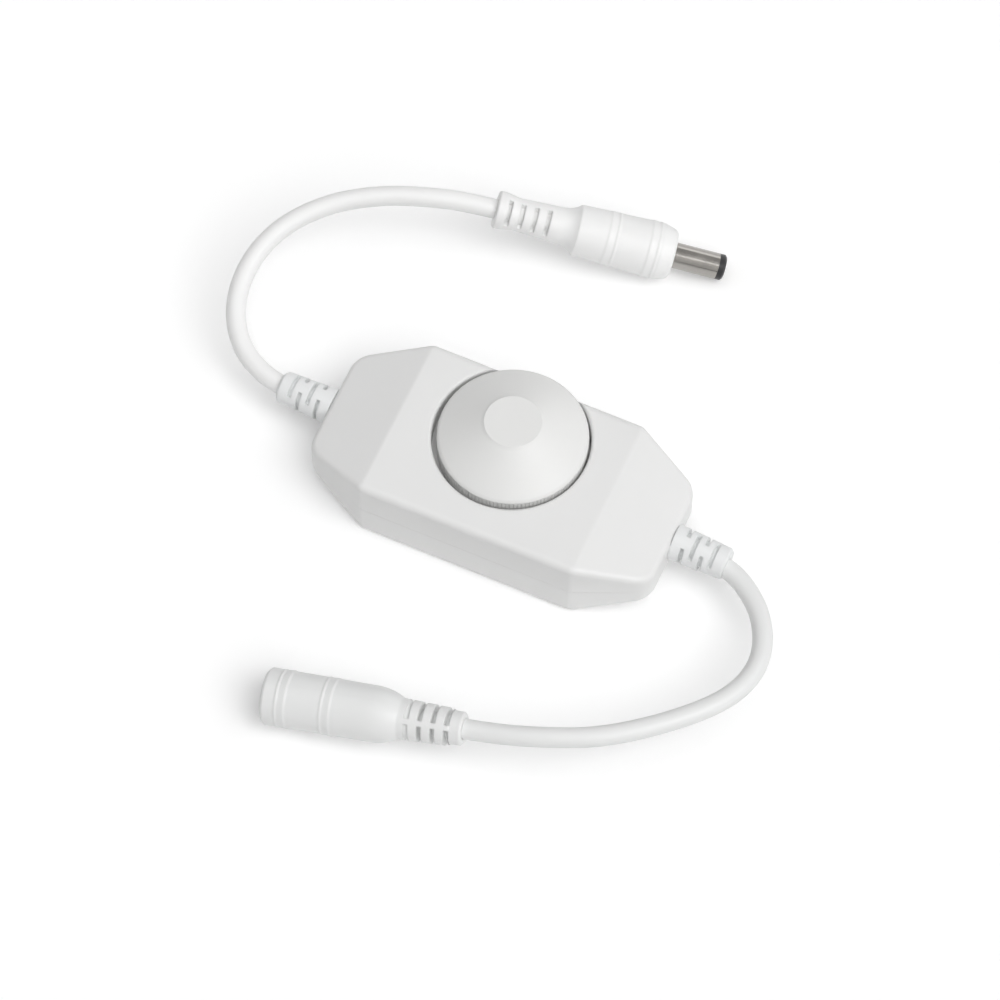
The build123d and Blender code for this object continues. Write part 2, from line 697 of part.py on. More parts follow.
with BuildPart() as capacitor_foot:
    with BuildSketch(Plane.XY.offset(BOARD_TOP)):
        with Locations((capacitor_x, capacitor_y)):
            Rectangle(foot_side, foot_side)
    extrude(amount=foot_height)
    chamfer(capacitor_foot.edges().filter_by(Axis.Z).group_by(Axis.X)[0], 1.2)
capacitor_foot.part.label = "capacitor_foot"
export_step(capacitor_foot.part, "parts/capacitor_foot.step")

with BuildPart() as smoothing_capacitor:
    with BuildSketch(Plane.XY.offset(BOARD_TOP + foot_height)):
        with Locations((capacitor_x, capacitor_y)):
            Circle(3.15)
    extrude(amount=4.4)
    fillet(smoothing_capacitor.edges().group_by(Axis.Z)[-1], 0.4)
smoothing_capacitor.part.label = "smoothing_capacitor"
export_step(smoothing_capacitor.part, "parts/smoothing_capacitor.step")

# Diodes and the small chip parts

with BuildPart() as steering_diodes:
    with BuildSketch(Plane.XY.offset(BOARD_TOP)):
        with Locations((-4.0, -8.5), (2.0, -8.5)):
            Rectangle(4.2, 2.6)
    extrude(amount=2.0)
    chamfer(steering_diodes.faces().sort_by(Axis.Z)[-1].edges(), 0.2)
steering_diodes.part.label = "steering_diodes"
export_step(steering_diodes.part, "parts/steering_diodes.step")

with BuildPart() as chip_resistors:
    with BuildSketch(Plane.XY.offset(BOARD_TOP)):
        with Locations((-9.0, 4.0), (-9.0, 7.0), (-13.5, 5.5), (8.5, -11.0), (13.0, -11.0)):
            Rectangle(3.2, 1.6)
    extrude(amount=0.6)
chip_resistors.part.label = "chip_resistors"
export_step(chip_resistors.part, "parts/chip_resistors.step")

with BuildPart() as chip_capacitors:
    with BuildSketch(Plane.XY.offset(BOARD_TOP)):
        with Locations((-9.0, 10.5), (9.5, 10.5), (-4.5, -12.0)):
            Rectangle(2.0, 1.25)
    extrude(amount=1.0)
chip_capacitors.part.label = "chip_capacitors"
export_step(chip_capacitors.part, "parts/chip_capacitors.step")

# Solder joints, one under the end of each core

joint_height = 0.9

with BuildPart() as solder_joints:
    with BuildSketch(Plane.XY.offset(BOARD_TOP)):
        with GridLocations(2 * PAD_X, 2 * PAD_Y, 2, 2):
            Circle(1.4)
    extrude(amount=joint_height, taper=20)
solder_joints.part.label = "solder_joints"
export_step(solder_joints.part, "parts/solder_joints.step")

# Cores, from the cut end of each jacket down to the board

for end, route in CORD_ROUTES.items():
    side = CORD_SIDES[end]
    jacket_end = Vector(route[0])
    inward = (jacket_end - Vector(route[1])).normalized()
    sideways = inward.cross(Vector(0, 0, side)).normalized()
    for pole, across in (("positive", 1), ("negative", -1)):
        start = jacket_end + sideways * across * CORE_SPREAD
        foot = Vector(side * PAD_X, across * PAD_Y, BOARD_TOP + joint_height)
        with BuildPart() as core:
            with BuildLine() as path:
                FilletPolyline(start, start + inward * CORE_LEAD, foot + Vector(0, 0, CORE_DROP),
                               foot, radius=[3.0, 1.4])
            with BuildSketch(path.line ^ 0):
                Circle(CORE_RADIUS)
            sweep()
        name = f"{end}_{pole}_core"
        core.part.label = name
        export_step(core.part, f"parts/{name}.step")

# Strain reliefs, moulded on the cords and held between the two shells

for end, side in CORD_SIDES.items():
    root = Vector(side * half_length, CORD_EXIT_SHIFT, MID_HEIGHT)
    along = Vector(side, 0, 0).rotate(Axis.Y, side * RELIEF_DROOP).rotate(Axis.Z, -RELIEF_YAW)
    inside = Plane(origin=root - Vector(side * (WALL + FLANGE_THICKNESS), 0, 0), z_dir=(side, 0, 0))
    with BuildPart() as relief:
        with BuildSketch(profile_plane(root, along)):
            with BuildLine():
                Polyline((-1, 0), (-1, RELIEF_ROOT_RADIUS), (RELIEF_LENGTH - 0.5, RELIEF_END_RADIUS),
                         (RELIEF_LENGTH, RELIEF_END_RADIUS - 0.5), (RELIEF_LENGTH, 0), (-1, 0))
            make_face()
        revolve(axis=Axis(root, along))
        split(bisect_by=Plane(origin=root, z_dir=(side, 0, 0)), keep=Keep.TOP)
        with BuildSketch(inside):
            Circle(NECK_RADIUS)
        extrude(amount=WALL + FLANGE_THICKNESS)
        with BuildSketch(cross_plane(inside.origin, Vector(side, 0, 0))):
            Rectangle(FLANGE_WIDTH, FLANGE_HEIGHT)
        extrude(amount=FLANGE_THICKNESS)
        add(cord_parts[end], mode=Mode.SUBTRACT)
        for slot in range(RELIEF_SLOTS):
            distance = RELIEF_LENGTH - RELIEF_FIRST_SLOT - slot * RELIEF_PITCH
            opening, turn = (WIDE_SLOT, 90) if slot % 2 else (NARROW_SLOT, 0)
            with BuildSketch(cross_plane(root + along * distance, along)):
                wedges(RELIEF_ROOT_RADIUS + 1, opening, RELIEF_ROLLS[end] + turn)
                Circle(RELIEF_CORE_RADIUS, mode=Mode.SUBTRACT)
            extrude(amount=SLOT_WIDTH / 2, both=True, mode=Mode.SUBTRACT)
    name = f"{end}_strain_relief"
    relief.part.label = name
    export_step(relief.part, f"parts/{name}.step")

# Plug, for a 5.5 x 2.1 mm socket: a white moulding on the cord, a metal barrel round a black
# insulator, and the inner contact that takes the socket's pin

plug_along = resting_direction(PLUG_DIRECTION, PLUG_DIP)
plug_root = Vector(PLUG_START)
plug_axis = Axis(plug_root, plug_along)
plug_section = profile_plane(plug_root, plug_along)
barrel_start = PLUG_LENGTH - BARREL_SEAT
barrel_end = PLUG_LENGTH + BARREL_LENGTH
tip_end = barrel_end + TIP_LENGTH

with BuildPart() as plug_moulding:
    with BuildSketch(plug_section):
        with BuildLine():
            boot = Polyline(
                (0, 0),
                (0, PLUG_END_RADIUS - 0.3),
                (0.3, PLUG_END_RADIUS),
                (1.6, PLUG_END_RADIUS),
                PLUG_BOOT_START,
                PLUG_BOOT_END,
            )
            TangentArc(PLUG_BOOT_END, PLUG_SHOULDER, tangent=boot % 1)
            Polyline(
                *banded_taper(PLUG_SHOULDER, PLUG_WIDEST, PLUG_BANDS),
                (PLUG_LENGTH - 0.5, PLUG_FRONT_RADIUS),
                (PLUG_LENGTH, PLUG_FRONT_RADIUS - 0.5),
                (PLUG_LENGTH, 0),
                (0, 0),
            )
        make_face()
    revolve(axis=plug_axis)
    for slot in range(BOOT_SLOTS):
        place = PLUG_FIRST_SLOT + slot * PLUG_SLOT_PITCH
        with BuildSketch(cross_plane(plug_root + plug_along * place, plug_along)):
            wedges(PLUG_END_RADIUS + 1, PLUG_SLOT_OPENING, PLUG_ROLL)
            Circle(BOOT_SLOT_FLOOR, mode=Mode.SUBTRACT)
        extrude(amount=BOOT_SLOT_WIDTH / 2, both=True, mode=Mode.SUBTRACT)
    with BuildSketch(cross_plane(plug_root + plug_along * PLUG_LENGTH, plug_along)):
        Circle(BARREL_NECK_RADIUS)
    extrude(amount=-BARREL_SEAT, mode=Mode.SUBTRACT)
    add(cord_parts["output"], mode=Mode.SUBTRACT)
plug_moulding.part.label = "plug_moulding"
export_step(plug_moulding.part, "parts/plug_moulding.step")

with BuildPart() as plug_barrel:
    with BuildSketch(cross_plane(plug_root + plug_along * barrel_start, plug_along)):
        Circle(BARREL_NECK_RADIUS)
    extrude(amount=BARREL_SEAT)
    with BuildSketch(cross_plane(plug_root + plug_along * PLUG_LENGTH, plug_along)):
        Circle(BARREL_RADIUS)
    extrude(amount=BARREL_LENGTH)
    with BuildSketch(cross_plane(plug_root + plug_along * barrel_start, plug_along)):
        Circle(BARREL_BORE_RADIUS)
    extrude(amount=BARREL_SEAT + BARREL_LENGTH, mode=Mode.SUBTRACT)
plug_barrel.part.label = "plug_barrel"
export_step(plug_barrel.part, "parts/plug_barrel.step")

with BuildPart() as plug_insulator:
    with BuildSketch(plug_section):
        with BuildLine():
            Polyline(
                (barrel_start, CONTACT_RADIUS),
                (barrel_start, BARREL_BORE_RADIUS),
                (barrel_end, BARREL_BORE_RADIUS),
                (barrel_end, BARREL_RADIUS),
                (tip_end - 0.4, BARREL_RADIUS),
                (tip_end, BARREL_RADIUS - 0.4),
                (tip_end, CONTACT_RADIUS),
                close=True,
            )
        make_face()
    revolve(axis=plug_axis)
plug_insulator.part.label = "plug_insulator"
export_step(plug_insulator.part, "parts/plug_insulator.step")

with BuildPart() as plug_inner_contact:
    with BuildSketch(cross_plane(plug_root + plug_along * barrel_start, plug_along)):
        Circle(CONTACT_RADIUS)
        Circle(CONTACT_BORE_RADIUS, mode=Mode.SUBTRACT)
    extrude(amount=tip_end - CONTACT_RECESS - barrel_start)
plug_inner_contact.part.label = "plug_inner_contact"
export_step(plug_inner_contact.part, "parts/plug_inner_contact.step")

# Socket: a white moulding on the cord round a hard insert that holds the pin and the spring

socket_along = resting_direction(SOCKET_DIRECTION, SOCKET_DIP)
socket_root = Vector(SOCKET_START)
socket_axis = Axis(socket_root, socket_along)
socket_section = profile_plane(socket_root, socket_along)
insert_start = SOCKET_LENGTH - INSERT_LENGTH
insert_end = SOCKET_LENGTH - INSERT_RECESS
bore_floor = insert_end - SOCKET_BORE_DEPTH
collar_length, collar_radius = SOCKET_COLLAR
boot_end = (SOCKET_BOOT_LENGTH, SOCKET_BOOT_RADII[1])

with BuildPart() as socket_moulding:
    with BuildSketch(socket_section):
        with BuildLine():
            Polyline(
                (0, 0),
                (0, collar_radius - 0.4),
                (0.4, collar_radius),
                (collar_length, collar_radius),
                (collar_length + 0.3, SOCKET_BOOT_RADII[0]),
                boot_end,
            )
            TangentArc(SOCKET_SHOULDER, boot_end, tangent=(-1, 0))
            Polyline(
                *banded_taper(SOCKET_SHOULDER, SOCKET_WIDEST, SOCKET_BANDS),
                (SOCKET_LENGTH, SOCKET_WIDEST[1] - SOCKET_NOSE_ROUNDING),
                (SOCKET_LENGTH, 0),
                (0, 0),
            )
        make_face()
    revolve(axis=socket_axis)
    for slot in range(BOOT_SLOTS):
        place = SOCKET_FIRST_SLOT + slot * SOCKET_SLOT_PITCH
        floor = BOOT_SLOT_FLOOR if slot < BOOT_SLOTS - 1 else SOCKET_LAST_SLOT_FLOOR
        with BuildSketch(cross_plane(socket_root + socket_along * place, socket_along)):
            wedges(SOCKET_BOOT_RADII[1] + 1, SOCKET_SLOT_OPENING, SOCKET_ROLL)
            Circle(floor, mode=Mode.SUBTRACT)
        extrude(amount=BOOT_SLOT_WIDTH / 2, both=True, mode=Mode.SUBTRACT)
    with BuildSketch(cross_plane(socket_root + socket_along * SOCKET_LENGTH, socket_along)):
        Circle(INSERT_RADIUS)
    extrude(amount=-INSERT_LENGTH, mode=Mode.SUBTRACT)
    add(cord_parts["input"], mode=Mode.SUBTRACT)
socket_moulding.part.label = "socket_moulding"
export_step(socket_moulding.part, "parts/socket_moulding.step")

with BuildPart() as socket_insert:
    with BuildSketch(cross_plane(socket_root + socket_along * insert_start, socket_along)):
        Circle(INSERT_RADIUS)
        Circle(PIN_ROOT_RADIUS, mode=Mode.SUBTRACT)
    extrude(amount=bore_floor - insert_start)
    with BuildSketch(cross_plane(socket_root + socket_along * bore_floor, socket_along)):
        Circle(INSERT_RADIUS)
        Circle(SOCKET_BORE_RADIUS, mode=Mode.SUBTRACT)
        with Locations((0, SOCKET_BORE_RADIUS)):
            Rectangle(SPRING_WIDTH, 2 * SPRING_RECESS, mode=Mode.SUBTRACT)
    extrude(amount=insert_end - bore_floor)
socket_insert.part.label = "socket_insert"
export_step(socket_insert.part, "parts/socket_insert.step")

with BuildPart() as socket_centre_pin:
    with BuildSketch(cross_plane(socket_root + socket_along * insert_start, socket_along)):
        Circle(PIN_ROOT_RADIUS)
    extrude(amount=bore_floor - insert_start)
    with BuildSketch(cross_plane(socket_root + socket_along * bore_floor, socket_along)):
        Circle(CENTRE_PIN_RADIUS)
    extrude(amount=CENTRE_PIN_LENGTH)
    pin_end = socket_root + socket_along * (bore_floor + CENTRE_PIN_LENGTH)
    fillet(socket_centre_pin.faces().sort_by_distance(pin_end)[0].edges(), 0.5)
socket_centre_pin.part.label = "socket_centre_pin"
export_step(socket_centre_pin.part, "parts/socket_centre_pin.step")

spring_outer = SOCKET_BORE_RADIUS + SPRING_RECESS
spring_inner = SOCKET_BORE_RADIUS + SPRING_THICKNESS

with BuildPart() as socket_spring:
    with BuildSketch(socket_section):
        with BuildLine():
            Polyline(
                (bore_floor, spring_outer - SPRING_THICKNESS),
                (bore_floor, spring_outer),
                (bore_floor + 2.0, spring_outer),
                (bore_floor + 5.5, spring_inner),
                (bore_floor + 8.0, spring_outer),
                (bore_floor + 8.0, spring_outer - SPRING_THICKNESS),
                (bore_floor + 5.5, spring_inner - SPRING_THICKNESS),
                (bore_floor + 2.0, spring_outer - SPRING_THICKNESS),
                close=True,
            )
        make_face()
    extrude(amount=SPRING_WIDTH / 2 - 0.1, both=True)
socket_spring.part.label = "socket_spring"
export_step(socket_spring.part, "parts/socket_spring.step")
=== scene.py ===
"""The looks of an inline rotary dimmer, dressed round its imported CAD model."""

import json
import math

import bmesh
import bpy
from mathutils import Matrix, Vector


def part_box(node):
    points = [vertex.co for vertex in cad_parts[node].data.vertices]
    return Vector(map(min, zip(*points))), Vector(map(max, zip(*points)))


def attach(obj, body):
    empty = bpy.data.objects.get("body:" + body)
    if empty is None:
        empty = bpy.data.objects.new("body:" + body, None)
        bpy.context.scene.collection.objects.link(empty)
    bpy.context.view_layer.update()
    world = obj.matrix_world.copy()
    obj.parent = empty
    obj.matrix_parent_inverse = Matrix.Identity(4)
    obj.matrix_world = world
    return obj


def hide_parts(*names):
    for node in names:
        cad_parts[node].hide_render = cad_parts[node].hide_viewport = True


bl_info = {
    "name": "Inline Rotary Dimmer",
    "version": (1, 0, 0),
    "blender": (4, 5, 0),
    "location": "View3D > Sidebar > Dimmer",
    "description": "Dresses the dimmer's CAD parts, lays its cords and sets up the studio",
    "category": "Object",
}

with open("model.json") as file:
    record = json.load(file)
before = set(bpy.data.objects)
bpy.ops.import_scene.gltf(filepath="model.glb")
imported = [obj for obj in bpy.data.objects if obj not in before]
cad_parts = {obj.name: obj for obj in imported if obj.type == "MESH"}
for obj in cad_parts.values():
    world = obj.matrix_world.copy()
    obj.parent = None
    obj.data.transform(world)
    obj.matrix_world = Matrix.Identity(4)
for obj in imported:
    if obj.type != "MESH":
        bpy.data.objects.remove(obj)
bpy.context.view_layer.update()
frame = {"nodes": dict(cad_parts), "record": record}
nodes = frame["nodes"]

MM = 0.001
STATIC_BODY = "dimmer"
DIAL_BODY = "dial"
NUMBER = "NodeSocketFloat"
COLOUR = "NodeSocketColor"

# Texture scales, in cells for each metre
BROAD_PATCHES = 90.0
SINK_WAVES = 110.0
TURNED_RINGS = 9000.0
TARNISH_CLOUDS = 260.0
TRACK_CELLS = 260.0
GLASS_WEAVE = 3000.0
PAPER_FIBRES = 4000.0
FLOOR_MOTTLE = 400.0

# Scale of a pattern along each axis, and the width of the board's tracks
MARK_STRETCH = (0.06, 0.06, 1.0)
FIBRE_STRETCH = (0.2, 1.0, 1.0)
FLATTENED = (1.0, 1.0, 0.0)
TRACK_WIDTH = 0.09

# Finishes: samples for rounded edges, then each relief's depth and strength, and in metal and
# laminate the radius to which edges look rounded
EDGE_SAMPLES = 6
GRAIN_RELIEF = (0.04 * MM, 0.6)
MARK_RELIEF = (0.008 * MM, 0.4, 0.06 * MM)
TRACK_RELIEF = (0.035 * MM, 0.8, 0.0)
FIBRE_RELIEF = (0.03 * MM, 0.5, 0.05 * MM)

# Knob, as the CAD has it. Rises are from its lowest edge.
KNOB_RADIUS = 15.5 * MM
CROWN_RADIUS = 6.15 * MM
CROWN_CHAMFER = 0.3 * MM
RIM_RISE = 4.55 * MM
CAVITY_RADIUS = 13.84 * MM
CAVITY_RIM_RISE = 4.6 * MM
CAVITY_SLOPE = 0.419

# The knob's new flank: its rounding at the rim, how far outside the cavity's mouth and above its
# roof the outer surface is sure to be, and the angle in degrees from which an edge stays crisp
RIM_ROUNDING = 0.6 * MM
MOUTH_MARGIN = 0.2 * MM
ROOF_MARGIN = 0.7 * MM
CRISP_ANGLE = 24

# Solder joints and screw heads, as the CAD has them
JOINT_RADIUS = 1.4 * MM
HEAD_RADIUS = 2.3 * MM

# Threads and ring pads, which the CAD leaves out
THREAD_TURNS = 8
THREAD_TIP = 0.6 * MM
THREAD_STEPS = 20
PAD_STEPS = 32
PAD_LIFT = 0.03 * MM
PAD_OVERHANG = 0.3 * MM
PAD_THICKNESS = 0.07 * MM
MERGE_DISTANCE = 0.002 * MM

# Soft lights: azimuth from +X, elevation and spread in degrees, and share of the light
STUDIO_LIGHTS = (
    ("key_light", 328, 52, 50, 0.43),
    ("right_light", 5, 50, 40, 0.17),
    ("top_light", 0, 90, 50, 0.205),
    ("back_light", 70, 25, 40, 0.08),
    ("left_light", 200, 40, 50, 0.05),
)

# Cards that only show in gloss: corners in metres and brightness
REFLECTION_CARDS = (
    ("ceiling_card", ((0.58, -0.22, 1.0), (0.25, -0.25, 1.0), (-0.1, 1.2, 1.0), (0.3, 1.25, 1.0)),
     0.35),
    ("window_card", ((0.60, -0.26, 1.0), (0.20, -0.34, 1.0), (0.18, -1.0, 0.32),
                     (0.65, -0.85, 0.32)), 0.6),
    ("horizon_card", ((0.76, -0.80, 0.0), (0.07, -1.10, 0.0), (0.07, -1.10, 0.23),
                      (0.76, -0.80, 0.23)), 0.02),
)

# Floor, and the camera shift that frames the dimmer as the photograph does
FLOOR_SIZE = 6.0
FLOOR_GAP = 0.02 * MM
SENSOR_WIDTH = 36
NEAREST_SEEN, FARTHEST_SEEN = 0.05, 20
SHIFT_RIGHT = 0.33 * MM
SHIFT_UP = 0.61 * MM

# Steps along each bend of a cord and round a quarter of it
BEND_STEPS = 24
ROUND_STEPS = 8

# Free cord routes in metres, the points of the CAD tubes
OUTPUT_ROUTE = [
    (-0.0336, 0.0007, 0.0092),
    (-0.0465, 0.0009, 0.0086),
    (-0.0540, 0.0015, 0.0086),
    (-0.0615, 0.0054, 0.0094),
    (-0.0666, 0.0127, 0.0108),
    (-0.0680, 0.0228, 0.0126),
    (-0.0649, 0.0329, 0.0142),
    (-0.0578, 0.0412, 0.0154),
    (-0.0487, 0.0469, 0.0162),
    (-0.0395, 0.0506, 0.0161),
    (-0.0317, 0.0537, 0.01465),
    (-0.0222, 0.0562, 0.01257),
]
INPUT_ROUTE = [
    (0.0336, 0.0007, 0.0092),
    (0.0465, 0.0005, 0.0086),
    (0.0544, -0.0018, 0.0086),
    (0.0618, -0.0088, 0.0089),
    (0.0650, -0.0183, 0.0096),
    (0.0625, -0.0279, 0.0106),
    (0.0545, -0.0375, 0.0117),
    (0.0433, -0.0470, 0.0127),
    (0.0329, -0.0519, 0.0129),
    (0.0228, -0.0548, 0.01158),
    (0.0130, -0.0566, 0.01036),
]
OUTPUT_EXIT = (-0.0500, 0.0010, 0.0086)
INPUT_EXIT = (0.0500, 0.0004, 0.0086)
OUTPUT_LENGTH = 0.108
INPUT_LENGTH = 0.110
PLUG_NODES = ("plug_moulding", "plug_barrel", "plug_insulator", "plug_inner_contact")
SOCKET_NODES = ("socket_moulding", "socket_insert", "socket_centre_pin", "socket_spring")


class DimmerSettings(bpy.types.PropertyGroup):
    """Sizes and colours of the dimmer's pieces."""

    cord_diameter: bpy.props.FloatProperty(
        name="Cord diameter", description="Outside diameter of each cord's jacket",
        default=4.2 * MM, min=2 * MM, max=8 * MM, unit="LENGTH", precision=5)
    edge_softness: bpy.props.FloatProperty(
        name="Edge softness", description="Radius to which moulded edges look rounded",
        default=0.3 * MM, min=0, max=1 * MM, unit="LENGTH", precision=5)
    soft_edge_softness: bpy.props.FloatProperty(
        name="Soft edge softness", description="The same for the soft mouldings on the cords",
        default=0.5 * MM, min=0, max=1 * MM, unit="LENGTH", precision=5)
    knob_slope: bpy.props.FloatProperty(
        name="Knob slope", description="Fall of the knob's conical flank for its width",
        default=0.605, min=0.5, max=0.64)
    knob_softness: bpy.props.FloatProperty(
        name="Knob softness", description="Radius to which the knob's edges look rounded",
        default=0.28 * MM, min=0, max=1.5 * MM, unit="LENGTH", precision=5)
    thread_pitch: bpy.props.FloatProperty(
        name="Thread pitch", description="Rise of one turn of the housing screws' thread",
        default=1.0 * MM, min=0.4 * MM, max=2 * MM, unit="LENGTH", precision=5)
    housing_colour: bpy.props.FloatVectorProperty(
        name="Housing", description="Colour of the two moulded shells",
        subtype="COLOR", size=3, min=0, max=1, default=(0.79, 0.79, 0.785))
    knob_colour: bpy.props.FloatVectorProperty(
        name="Knob", description="Colour of the knob",
        subtype="COLOR", size=3, min=0, max=1, default=(0.785, 0.785, 0.775))
    output_colour: bpy.props.FloatVectorProperty(
        name="Plug side", description="Colour of the plug's moulding and its cord",
        subtype="COLOR", size=3, min=0, max=1, default=(0.88, 0.88, 0.875))
    # The socket side is set darker than the plug side: painted shade for the weaker light on the
    # socket's side of the scene
    input_colour: bpy.props.FloatVectorProperty(
        name="Socket side", description="Colour of the socket's moulding and its cord",
        subtype="COLOR", size=3, min=0, max=1, default=(0.80, 0.805, 0.80))
    relief_colour: bpy.props.FloatVectorProperty(
        name="Strain reliefs", description="Colour of the two slotted strain reliefs",
        subtype="COLOR", size=3, min=0, max=1, default=(0.82, 0.83, 0.83))


class StudioSettings(bpy.types.PropertyGroup):
    """Camera, floor and lights."""

    azimuth: bpy.props.FloatProperty(
        name="Azimuth", description="Direction of view round the dimmer",
        default=math.radians(24.08), subtype="ANGLE")
    elevation: bpy.props.FloatProperty(
        name="Elevation", description="Height of view above the horizon",
        default=math.radians(62.17), subtype="ANGLE")
    distance: bpy.props.FloatProperty(
        name="Distance", description="Distance from the camera to the dimmer's origin",
        default=1.073, min=0.1, unit="LENGTH")
    lens: bpy.props.FloatProperty(
        name="Lens", description="Focal length in millimetres on a 36 mm sensor",
        default=187.74, min=10, max=500)
    light_level: bpy.props.FloatProperty(
        name="Light level", description="Strength of all lamps, one lights a colour as written",
        default=1.0, min=0)
    world_strength: bpy.props.FloatProperty(
        name="Surroundings", description="Strength of the pale surroundings' light",
        default=0.2, min=0)
    floor_glow: bpy.props.FloatProperty(
        name="Floor white", description="White that the camera sees on top of the lit floor",
        default=0.17, min=0, max=1)


def settings():
    """The sizes and colours that the panel shows."""
    return bpy.context.scene.dimmer_settings


def studio():
    """The camera, floor and light values that the panel shows."""
    return bpy.context.scene.dimmer_studio


# Materials

def new_material(name):
    """A material with an empty tree, its output node and its Principled shader."""
    material = bpy.data.materials.new(name)
    material.use_nodes = True
    tree = material.node_tree
    tree.nodes.clear()
    output = tree.nodes.new("ShaderNodeOutputMaterial")
    shader = tree.nodes.new("ShaderNodeBsdfPrincipled")
    tree.links.new(shader.outputs["BSDF"], output.inputs["Surface"])
    return material, tree, shader


def feed(tree, socket, value):
    """Link an output to the socket, or set the socket to a plain value."""
    if isinstance(value, bpy.types.NodeSocket):
        tree.links.new(value, socket)
    else:
        socket.default_value = value


def sum_of(tree, operation, *values):
    """The output of a Math node."""
    node = tree.nodes.new("ShaderNodeMath")
    node.operation = operation
    for socket, value in zip(node.inputs, values):
        feed(tree, socket, value)
    return node.outputs[0]


def scaled(tree, vector, factor):
    """A vector or colour times a number, or times another vector."""
    node = tree.nodes.new("ShaderNodeVectorMath")
    if isinstance(factor, tuple):
        node.operation = "MULTIPLY"
        node.inputs[1].default_value = factor
    else:
        node.operation = "SCALE"
        feed(tree, node.inputs["Scale"], factor)
    tree.links.new(vector, node.inputs[0])
    return node.outputs[0]


def noise(tree, place, scale, detail=2.0):
    """A noise texture's value."""
    node = tree.nodes.new("ShaderNodeTexNoise")
    node.inputs["Detail"].default_value = detail
    feed(tree, node.inputs["Scale"], scale)
    tree.links.new(place, node.inputs["Vector"])
    return node.outputs["Fac"]


def object_place(tree):
    """The place on the piece, in metres."""
    return tree.nodes.new("ShaderNodeTexCoord").outputs["Object"]


def mix_colour(tree, share, low, high):
    """A Mix node between two colours."""
    node = tree.nodes.new("ShaderNodeMix")
    node.data_type = "RGBA"
    feed(tree, node.inputs["Factor"], share)
    colours = [socket for socket in node.inputs if socket.type == "RGBA"]
    feed(tree, colours[0], low)
    feed(tree, colours[1], high)
    return next(socket for socket in node.outputs if socket.type == "RGBA")


def open_group(name, inputs, outputs):
    """A new shader node group with its sockets: the group, its input and its output node."""
    group = bpy.data.node_groups.new(name, "ShaderNodeTree")
    for label, kind, default in inputs:
        socket = group.interface.new_socket(label, in_out="INPUT", socket_type=kind)
        if default is not None:
            socket.default_value = default
    for label, kind in outputs:
        group.interface.new_socket(label, in_out="OUTPUT", socket_type=kind)
    return group, group.nodes.new("NodeGroupInput"), group.nodes.new("NodeGroupOutput")


def moulded_grain_group():
    """Moulding texture: colour drift, roughness drift, slow sink waves and a shallow grain."""
    found = bpy.data.node_groups.get("moulded_grain")
    if found:
        return found
    group, inside, outside = open_group("moulded_grain", (
        ("Colour", COLOUR, (0.8, 0.8, 0.8, 1)),
        ("Drift", NUMBER, 0.03),
        ("Grain size", NUMBER, 2500.0),
        ("Roughness", NUMBER, 0.4),
        ("Roughness drift", NUMBER, 0.08),
        ("Grain depth", NUMBER, 0.25),
        ("Wave depth", NUMBER, 1.0),
    ), (("Colour", COLOUR), ("Roughness", NUMBER), ("Height", NUMBER)))
    place = object_place(group)
    shade = sum_of(group, "SUBTRACT", noise(group, place, BROAD_PATCHES, detail=3.0), 0.5)
    amount = sum_of(group, "MULTIPLY_ADD", shade, inside.outputs["Drift"], 1.0)
    feed(group, outside.inputs["Colour"], scaled(group, inside.outputs["Colour"], amount))
    feed(group, outside.inputs["Roughness"],
         sum_of(group, "MULTIPLY_ADD", shade, inside.outputs["Roughness drift"],
                inside.outputs["Roughness"]))
    grain = sum_of(group, "MULTIPLY", noise(group, place, inside.outputs["Grain size"]),
                   inside.outputs["Grain depth"])
    wave = sum_of(group, "MULTIPLY", noise(group, place, SINK_WAVES, detail=0.0),
                  inside.outputs["Wave depth"])
    feed(group, outside.inputs["Height"], sum_of(group, "ADD", grain, wave))
    return group


def pigment_specks_group():
    """Sparse dark specks of burnt pigment, each well under half a millimetre."""
    found = bpy.data.node_groups.get("pigment_specks")
    if found:
        return found
    group, inside, outside = open_group("pigment_specks", (
        ("Colour", COLOUR, (0.8, 0.8, 0.8, 1)),
        ("Spacing", NUMBER, 90.0),
        ("Size", NUMBER, 0.02),
        ("Darkness", NUMBER, 0.25),
    ), (("Colour", COLOUR),))
    cells = group.nodes.new("ShaderNodeTexVoronoi")
    feed(group, cells.inputs["Scale"], inside.outputs["Spacing"])
    feed(group, cells.inputs["Vector"], object_place(group))
    speck = sum_of(group, "LESS_THAN", cells.outputs["Distance"], inside.outputs["Size"])
    shade = sum_of(group, "MULTIPLY", speck, inside.outputs["Darkness"])
    feed(group, outside.inputs["Colour"],
         scaled(group, inside.outputs["Colour"], sum_of(group, "SUBTRACT", 1.0, shade)))
    return group


